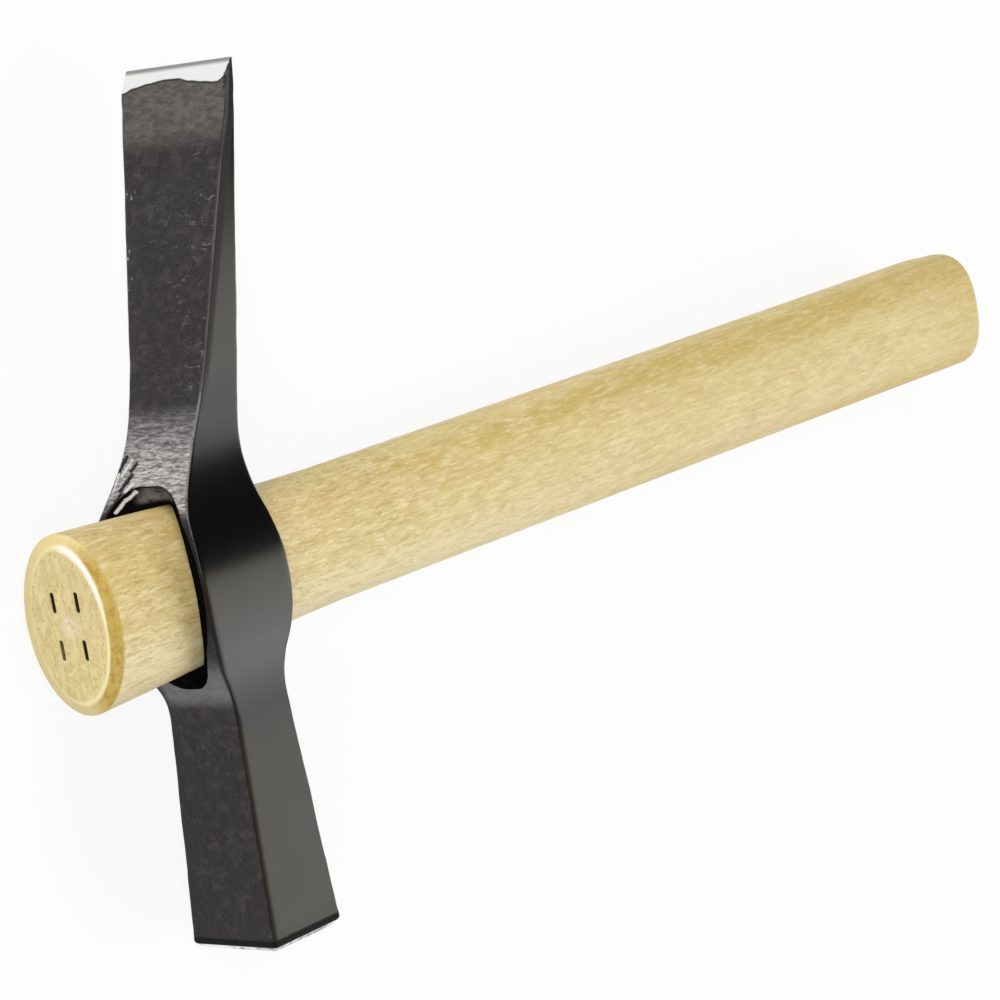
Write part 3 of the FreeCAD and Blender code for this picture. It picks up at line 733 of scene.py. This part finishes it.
    # torn ridges and grooves on the far corner above the eye: grooves and the corner's tip painted black
    # as shade, ridges rubbed bare and painted near white with a painted glint
    ragged = s.noise((0.9, 1.1, 0.9), 4.0, 0.6, (8, 1, 3))
    grooves = s.bars(((27.4, -5.5, 26.5, -6.4), (25.5, -5.8, 22.6, -8.5), (22.5, -5.0, 21.3, -7.0),
                      (21.6, -8.1, 17.2, -11.8), (29.0, -8.9, 23.0, -11.6)), 0.35, 0.75, ragged)
    ridges = s.bars(((28.4, -7.0, 25.5, -9.0), (25.8, -10.2, 22.4, -10.6), (23.7, -4.9, 22.4, -6.9)),
                    0.20, 0.60, ragged)
    grooves = s.product(grooves, before)
    ridges = s.product(ridges, before)
    far_tip_shade = s.product(s.ramp(s.y, 23.0, 16.5), s.ramp(s.z, -8.0, -10.0), s.ramp(ragged, 0.30, 0.46))
    far_tip_shade = s.product(far_tip_shade, before, flat)
    paint = s.mix(s.math("MAXIMUM", grooves, s.product(far_tip_shade, 0.9)), paint, (0.006, 0.005, 0.005))
    paint = s.mix(s.product(ridges, s.ramp(fine, 0.25, 0.50, 0.55, 1.0)), paint, (0.82, 0.81, 0.80))

    # long edges: paint rubbed off together with a painted highlight, bright above the eye, grey beside it,
    # faint up the blade, none on the poll
    wear_and_highlight_tone = s.mix(s.ramp(s.y, 44.0, 37.0), (0.200, 0.168, 0.180), (0.50, 0.48, 0.46))
    wear_and_highlight_tone = s.mix(s.ramp(s.y, 20.0, 16.0), wear_and_highlight_tone, (0.36, 0.35, 0.37))
    keen = s.ramp(s.y, 20.0, 15.0, 0.35, 0.60)
    wear_and_highlight = s.product(s.ramp(arris, keen, 0.92), s.ramp(s.noise(0.28, 3.0, 0.6), 0.25, 0.45))
    wear_and_highlight = s.product(wear_and_highlight, s.ramp(s.y, 3.5, 8.5), s.ramp(s.y, 93.0, 80.0, 0.30, 1.0))
    paint = s.mix(s.product(wear_and_highlight, 0.85), paint, wear_and_highlight_tone)

    # ground steel: long grinding lines, a painted shade line along the very edge for its small second
    # bevel
    grind = s.noise((7.0, 7.0, 0.35), 3.0, 0.6)
    steel = s.mix(grind, (0.80, 0.80, 0.785), (0.97, 0.97, 0.96))
    # painted shade: a darker line along the very edge
    edge = s.ramp(s.y, 108.7, 109.6)
    steel = s.mix(s.product(edge, 0.85), steel, (0.20, 0.20, 0.19))
    used = s.product(struck, s.ramp(s.noise(0.25, 3.0, 0.6), 0.40, 0.62))
    steel = s.mix(used, steel, (0.35, 0.34, 0.33))

    # a dark line round the foot of the poll, just above its bright rim
    paint = s.mix(foot, paint, (0.0012, 0.0010, 0.0010))
    s.set(Base_Color=s.mix(bare, paint, steel), Metallic=bare)

    # roughness: smooth sides, duller front, back and worn places
    dull = s.math("MAXIMUM", s.product(flat, 0.14), s.product(strip, 0.30))
    dull = s.math("MAXIMUM", dull, s.product(arris, s.ramp(s.y, 0.0, -8.0), 0.5))
    dull = s.math("MAXIMUM", dull, s.product(foot, 0.6))
    dull = s.math("ADD", dull, s.product(amount, 0.2))
    paint_rough = s.math("ADD", dull, s.math("MULTIPLY_ADD", cloud, 0.04, 0.26))
    s.set(Roughness=s.math("MULTIPLY_ADD", s.math("SUBTRACT", 0.28, paint_rough), bare, paint_rough))
    s.surface.inputs["IOR"].default_value = 1.4

    # relief of the forged skin, its marks, band, ridges and grooves, and of the grinding
    height = s.product(peel, s.math("MULTIPLY_ADD", flat, 1.25, 0.04))
    height = s.math("ADD", height, s.product(scale, flat, 1.0))
    height = s.math("ADD", height, s.product(mark, 0.5))
    height = s.math("ADD", height, s.product(amount, pattern, 0.45))
    height = s.math("ADD", height, s.product(ridges, 1.3))
    height = s.math("SUBTRACT", height, s.product(grooves, 0.9))
    height = s.product(height, s.math("SUBTRACT", 1.0, bare))
    height = s.math("ADD", height, s.product(grind, bare, 0.08))
    rough_skin = s.bump(height, 0.40, 0.9)

    # the blade's sides are drawn out by hammering and bow away a little towards the edge
    above = s.math("MAXIMUM", s.math("SUBTRACT", s.y, 45.0), 0.0)
    bowed = s.bump(s.product(above, above, -0.0023), 1.0, 1.0, rough_skin)
    turn = s.add("ShaderNodeMix", data_type="VECTOR")
    s.feed(s.math("MAXIMUM", flat, bare), turn.inputs[0])
    s.link(bowed, turn.inputs[4])
    s.link(rough_skin, turn.inputs[5])
    s.link(turn.outputs[1], s.surface.inputs["Normal"])
    return s.material


def eye_wall_shade_material():
    """The walls of the eye and its mouth: painted near black as their shade, with a painted patch of light
    on the upper wall and a painted glint along one torn ridge.
    """
    s = Shader("shaded_eye_walls")
    grain = s.noise((0.6, 0.6, 0.35), 4.0, 0.6, (2, 6, 3))
    wall_shade = s.mix(grain, (0.0012, 0.0008, 0.0010), (0.0110, 0.0085, 0.0095))
    # painted light: a lighter patch on the upper wall of the mouth, where light falls
    lit_patch = s.product(s.ramp(s.x, -9.6, -7.8), s.ramp(s.y, 18.6, 20.0), s.ramp(s.z, -7.0, -4.5))
    lit_patch = s.product(lit_patch, s.ramp(s.z, 8.0, 5.0), s.ramp(grain, 0.15, 0.6))
    wall_shade = s.mix(lit_patch, wall_shade, (0.185, 0.172, 0.172))
    ragged = s.noise((0.9, 1.1, 0.9), 4.0, 0.6, (8, 1, 3))
    # painted highlight: a near white glint along one torn ridge, which has no relief of its own
    ridges = s.bars(((22.0, -4.6, 20.0, -7.7), (20.0, -7.7, 18.1, -9.4)), 0.16, 0.48,
                    s.math("MULTIPLY_ADD", ragged, 0.5, 0.25))
    wall_shade = s.mix(s.product(ridges, s.ramp(s.x, -8.0, -9.0)), wall_shade, (0.74, 0.75, 0.78))
    s.set(Base_Color=wall_shade, Roughness=s.math("MULTIPLY_ADD", grain, 0.1, 0.85))
    s.surface.inputs["Specular IOR Level"].default_value = 0.0
    s.link(s.bump(grain, 0.3, 0.8), s.surface.inputs["Normal"])
    return s.material


def wood_material():
    s = Shader("light_hardwood")
    end = s.value("end_grain")
    along = s.math("ADD", s.x, STUB_LENGTH)

    # long grain, wandering a little, and softly mottled
    broad = s.noise((0.012, 0.13, 0.13), 3.0, 0.5, (2, 5, 1), 0.5)
    fibre = s.noise((0.05, 1.3, 1.3), 4.0, 0.62, (4, 1, 7), 0.3)
    cloud = s.noise((0.045, 0.08, 0.08), 3.0, 0.55, (8, 2, 5))
    mottle = s.noise((0.11, 0.36, 0.36), 4.0, 0.6, (3, 9, 4), 0.4)
    wood = s.mix(broad, (0.70, 0.55, 0.225), (0.81, 0.665, 0.310))
    wood = s.mix(s.product(s.ramp(cloud, 0.46, 0.68), 0.6), wood, (0.80, 0.60, 0.33))
    wood = s.mix(s.product(s.ramp(mottle, 0.50, 0.66), 0.34), wood, (0.62, 0.455, 0.165))
    wood = s.mix(s.product(s.ramp(mottle, 0.46, 0.34), 0.4), wood, (0.86, 0.735, 0.40))
    wood = s.mix(s.product(s.ramp(fibre, 0.46, 0.72), 0.34), wood, (0.60, 0.43, 0.155))

    # a golden streak along the upper part of the grip, painted shade in golden brown along its underside
    # towards its end, which is golden
    across = s.math("SUBTRACT", s.y, s.math("MULTIPLY_ADD", s.x, 0.0165, 9.1))
    across = s.math("ADD", across, s.math("MULTIPLY_ADD", broad, 3.0, -1.5))
    lower_from = s.ramp(s.x, 130.0, 230.0, -4.8, -7.2)
    lower_to = s.ramp(s.x, 130.0, 230.0, -0.9, -2.4)
    golden_streak = s.product(s.ramp(across, lower_from, lower_to), s.ramp(across, 3.0, 0.8))
    golden_streak = s.product(golden_streak, s.ramp(s.x, 20.0, 110.0, 0.25, 1.0))
    golden_streak = s.product(golden_streak, s.ramp(fibre, 0.20, 0.60, 0.55, 1.0), s.ramp(mottle, 0.36, 0.56, 0.55, 1.0))
    wood = s.mix(s.product(golden_streak, 0.68), wood, (0.62, 0.45, 0.12))
    # painted shade: golden brown along the grip's underside towards its end
    below = s.product(s.ramp(s.y, -10.5, -13.5), s.ramp(s.x, 200.0, 265.0))
    wood = s.mix(s.product(below, 0.6), wood, (0.66, 0.44, 0.11))
    wood = s.mix(s.product(s.ramp(s.x, 272.0, 299.0), 0.52), wood, (0.66, 0.50, 0.17))

    # paler below at the head's end, golden on top of the stub
    pale = s.product(s.ramp(s.y, -2.0, -12.0), s.ramp(s.x, 180.0, 40.0), 0.65)
    wood = s.mix(pale, wood, (0.95, 0.84, 0.52))
    stub_top = s.product(s.ramp(s.y, 3.0, 14.0), s.ramp(s.x, 0.0, -14.0), 0.24)
    wood = s.mix(stub_top, wood, (0.66, 0.46, 0.12))

    # gold where the stub is burnished against the eye
    rubbed = s.product(s.ramp(s.x, -21.0, -12.0), s.ramp(s.x, 5.0, -3.0), s.ramp(mottle, 0.40, 0.60))
    wood = s.mix(s.product(rubbed, 0.45), wood, (0.70, 0.45, 0.11))

    # dark and light ripples along the grain, clearer towards the head
    speck = s.noise((0.20, 1.05, 1.05), 3.0, 0.60, (7, 7, 1), 0.4)
    shown = s.ramp(s.x, 260.0, 20.0, 0.55, 1.0)
    wood = s.mix(s.product(s.ramp(speck, 0.52, 0.68), shown, 0.34), wood, (0.55, 0.39, 0.12))
    wood = s.mix(s.product(s.ramp(speck, 0.49, 0.34), shown, 0.46), wood, (0.95, 0.84, 0.53))

    # short soft flecks and rays, denser towards the head and fewer below
    fleck = s.ramp(s.noise((0.26, 1.35, 1.35), 3.0, 0.6, (6, 3, 2), 0.8), 0.52, 0.66)
    ray = s.ramp(s.noise((0.62, 2.2, 2.2), 3.0, 0.55, (1, 8, 3), 0.5), 0.54, 0.70)
    dense = s.math("MULTIPLY_ADD", s.ramp(s.x, 150.0, 10.0), 0.50, 0.38)
    patchy = s.ramp(s.noise((0.03, 0.12, 0.12), 2.0, 0.5, (3, 7, 9)), 0.30, 0.60)
    dense = s.product(dense, s.math("MULTIPLY_ADD", patchy, 0.6, 0.4))
    dense = s.product(dense, s.ramp(s.y, -13.0, -6.0, 0.55, 1.0))
    wood = s.mix(s.product(fleck, dense, 0.62), wood, (0.46, 0.30, 0.085))
    wood = s.mix(s.product(ray, dense, 0.50), wood, (0.54, 0.35, 0.11))

    # end grain
    pores = s.product(s.ramp(s.noise((0.5, 1.1, 2.0), 2.0, 0.5, (4, 4, 8), 0.5), 0.56, 0.68), end)
    rings = s.noise((0.2, 0.16, 0.42), 4.0, 0.6, (1, 1, 1), 1.4)
    end_tone = s.mix(s.ramp(rings, 0.3, 0.7), (0.66, 0.515, 0.19), (0.84, 0.71, 0.34))
    end_tone = s.mix(s.product(s.ramp(cloud, 0.35, 0.6), 0.25), end_tone, (0.86, 0.67, 0.44))
    end_tone = s.mix(s.product(pores, 0.55), end_tone, (0.50, 0.32, 0.12))
    wood = s.mix(end, wood, end_tone)

    # turned chamfer of the stub: pale, and burnished gold on its near side
    near_side = s.product(s.ramp(s.z, 0.5, 7.0), s.ramp(s.y, 19.5, 13.0))
    burnish = s.noise((1.1, 0.42, 0.42), 4.0, 0.65, (5, 3, 3), 0.4)
    reached = s.math("ADD", along, s.product(near_side, s.math("MULTIPLY_ADD", burnish, 1.6, -0.8)))
    chamfer = s.product(s.ramp(along, 0.05, 0.20), s.ramp(reached, 1.75, 1.0), 0.88)
    gold = s.mix(s.ramp(burnish, 0.40, 0.60), (0.61, 0.405, 0.080), (0.44, 0.275, 0.020))
    gold = s.mix(near_side, s.mix(mottle, (0.74, 0.60, 0.26), (0.90, 0.76, 0.38)), gold)
    wood = s.mix(chamfer, wood, gold)

    # a painted highlight along the rim between the chamfer and the end, whitest on its upper near side,
    # and a pale spot at the centre mark
    high = s.math("DIVIDE", s.y, 16.95)
    wide = s.math("DIVIDE", s.z, 10.95)
    oval = s.math("SQRT", s.math("ADD", s.product(high, high), s.product(wide, wide)))
    bright = s.product(s.ramp(s.z, -1.0, 3.5), s.ramp(s.y, -2.0, 9.0))
    rim_width = s.math("MULTIPLY_ADD", bright, 0.035, 0.050)
    rim = s.math("DIVIDE", s.math("ABSOLUTE", s.math("SUBTRACT", oval, 1.0)), rim_width)
    rim = s.product(s.ramp(rim, 1.0, 0.3), s.ramp(along, 0.7, 0.3), s.ramp(s.z, -5.0, 3.0, 0.45, 0.95))
    wood = s.mix(rim, wood, s.mix(bright, (0.95, 0.85, 0.47), (1.0, 0.97, 0.86)))
    centre = s.math("SQRT", s.math("ADD", s.product(s.y, s.y), s.product(s.z, s.z)))
    spot = s.product(s.ramp(centre, 3.4, 1.2), s.ramp(along, 2.0, 1.6), 0.5)
    wood = s.mix(spot, wood, (0.93, 0.78, 0.66))

    # the four slots are painted dark inside as their shade, the far lower one less so
    slot = s.product(s.ramp(along, 0.04, 0.30), s.ramp(along, 4.0, 3.0), s.ramp(oval, 0.80, 0.75))
    slot = s.product(slot, s.ramp(centre, 1.4, 1.9))
    faded = s.product(s.ramp(s.y, 1.0, -1.0), s.ramp(s.z, 1.0, -1.0), 0.8)
    wood = s.mix(slot, wood, s.mix(faded, (0.030, 0.020, 0.009), (0.20, 0.165, 0.085)))

    s.set(Base_Color=wood)
    s.set(Roughness=s.math("MULTIPLY_ADD", fibre, 0.16, 0.46))
    s.surface.inputs["IOR"].default_value = 1.4
    height = s.math("ADD", s.product(fibre, 0.5), s.product(fleck, -0.5))
    height = s.math("ADD", height, s.product(pores, -0.5))
    s.link(s.bump(height, 0.12, 0.6), s.surface.inputs["Normal"])
    return s.material


# Values the materials read

def ground_value(p, normal):
    """Above zero on the ground bevel and the cutting edge."""
    if p.y > BLADE_REACH - 0.12:
        return 1.0
    if p.y < 97.0 or normal.x > -0.3:
        return -1.0
    face = line_at(HEAD.root_front, HEAD.bevel_foot, p.y) + HEAD.hollow(p.y, p.z)
    return line_at(HEAD.bevel_foot, HEAD.bevel_top, p.y) - face


def struck_value(p, normal):
    """1 on the striking face and its chamfer."""
    return 1.0 if p.y < -POLL_REACH + 1.2 else 0.0


def front_back_value(p, normal):
    """1 on the rough front and back of the head, 0 on its smooth sides."""
    return smoothstep(0.22, 0.6, HEAD.half(p.y) - abs(p.z))


def arris_value(p, normal):
    """1 on the long edges between front, back and sides."""
    if not -POLL_REACH < p.y < BLADE_REACH:
        return 0.0
    half = HEAD.half(p.y)
    dz = half - abs(p.z)
    dx = min(abs(p.x - HEAD.front(p.y, p.z)), abs(p.x - HEAD.back(p.y)))
    return math.exp(-(math.hypot(dx, dz) / 0.75) ** 2)


def strip_value(p, normal):
    """1 beside the front edges of the two sides, where the lacquer is dull."""
    if abs(normal.z) < 0.5 or not -POLL_REACH < p.y < BLADE_REACH:
        return 0.0
    depth = p.x - HEAD.front(p.y, HEAD.half(p.y) - CORNER_RADIUS)
    width = 1.9 + 1.0 * smoothstep(40.0, 90.0, p.y)
    return smoothstep(width + 0.7, width - 0.4, depth) * smoothstep(34.0, 48.0, p.y)


def end_value(p, normal):
    """1 where the wood is cut across its grain."""
    return 1.0 if abs(normal.x) > 0.8 else 0.0


head = make_head()
for name, rule in (("ground", ground_value), ("struck", struck_value), ("front_back", front_back_value),
                   ("arris", arris_value), ("strip", strip_value)):
    add_values(head, name, rule)
head.data.materials.append(steel_material())
head.data.materials.append(eye_wall_shade_material())
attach(head, "root")
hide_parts("hammer_head")

handle = make_handle()
add_values(handle, "end_grain", end_value)
handle.data.materials.append(wood_material())
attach(handle, "root")
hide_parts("handle")


# Studio

def make_floor():
    """A plain floor: seen or mirrored it is mostly an even white, and it keeps a little shadow."""
    bottom = cad_low.z - FLOOR_GAP
    mesh = bpy.data.meshes.new("floor")
    corners = ((-1, -1), (1, -1), (1, 1), (-1, 1))
    mesh.from_pydata([(x * FLOOR_REACH, y * FLOOR_REACH, bottom) for x, y in corners], [], [(0, 1, 2, 3)])
    floor = bpy.data.objects.new("floor", mesh)
    bpy.context.scene.collection.objects.link(floor)
    material = bpy.data.materials.new("pale_floor")
    material.use_nodes = True
    tree = material.node_tree
    tree.nodes.clear()
    path = tree.nodes.new("ShaderNodeLightPath")
    seen = tree.nodes.new("ShaderNodeMath")
    seen.operation = "MAXIMUM"
    tree.links.new(path.outputs["Is Camera Ray"], seen.inputs[0])
    tree.links.new(path.outputs["Is Glossy Ray"], seen.inputs[1])
    seen_all = tree.nodes.new("ShaderNodeMath")
    seen_all.operation = "MAXIMUM"
    tree.links.new(seen.outputs[0], seen_all.inputs[0])
    tree.links.new(path.outputs["Is Transmission Ray"], seen_all.inputs[1])
    share = tree.nodes.new("ShaderNodeMath")
    share.operation = "MULTIPLY"
    share.inputs[1].default_value = 0.9
    tree.links.new(seen_all.outputs[0], share.inputs[0])
    diffuse = tree.nodes.new("ShaderNodeBsdfDiffuse")
    diffuse.inputs["Color"].default_value = (0.9, 0.9, 0.9, 1.0)
    glow = tree.nodes.new("ShaderNodeEmission")
    glow.inputs["Color"].default_value = (1.0, 1.0, 1.0, 1.0)
    glow.inputs["Strength"].default_value = 1.0
    blend_node = tree.nodes.new("ShaderNodeMixShader")
    tree.links.new(share.outputs[0], blend_node.inputs[0])
    tree.links.new(diffuse.outputs[0], blend_node.inputs[1])
    tree.links.new(glow.outputs[0], blend_node.inputs[2])
    output = tree.nodes.new("ShaderNodeOutputMaterial")
    tree.links.new(blend_node.outputs[0], output.inputs["Surface"])
    mesh.materials.append(material)


def add_softbox(name, direction, distance, width, height, watts):
    """A rectangular light that faces the hammer, its height in the plane that holds world Y."""
    light = bpy.data.lights.new(name, "AREA")
    light.shape = "RECTANGLE"
    light.size = width
    light.size_y = height
    light.energy = watts
    lamp = bpy.data.objects.new(name, light)
    bpy.context.scene.collection.objects.link(lamp)
    back = Vector(direction).normalized()
    side = Vector((0, 1, 0)).cross(back).normalized()
    turn = Matrix((side, back.cross(side), back)).transposed().to_4x4()
    lamp.matrix_world = Matrix.Translation(LIT_PLACE + back * distance) @ turn


def make_lights():
    add_softbox("front_box", (-0.70, 0.10, 0.70), 1.8, 1.32, 1.32, 21.0)
    add_softbox("side_box", (0.78, -0.415, 0.469), 2.2, 2.383, 2.099, 44.0)
    add_softbox("top_box", (-0.25, 0.90, 0.40), 1.9, 1.45, 0.95, 16.0)
    world = bpy.data.worlds.new("studio")
    world.use_nodes = True
    background = world.node_tree.nodes["Background"]
    background.inputs["Color"].default_value = (1.0, 1.0, 1.0, 1.0)
    background.inputs["Strength"].default_value = 0.10
    bpy.context.scene.world = world


def make_camera():
    """The photo's camera, fitted to the hammer's outline."""
    camera = bpy.data.cameras.new("camera")
    camera.sensor_width = SENSOR_WIDTH
    camera.lens = SENSOR_WIDTH * FOCAL_PIXELS / IMAGE_PIXELS
    camera.clip_start = 0.05
    camera.clip_end = 30.0
    eye = bpy.data.objects.new("camera", camera)
    bpy.context.scene.collection.objects.link(eye)
    right = Vector((0.626398, -0.172576, 0.760160))
    up = Vector((0.234307, 0.971772, 0.027541))
    back = Vector((-0.743455, 0.160860, 0.649152))
    turn = Matrix((right, up, back)).transposed().to_4x4()
    eye.matrix_world = Matrix.Translation((-0.71295, 0.12699, 0.61681)) @ turn
    bpy.context.scene.camera = eye


make_floor()
make_lights()
make_camera()
bpy.context.scene.view_settings.view_transform = "Standard"
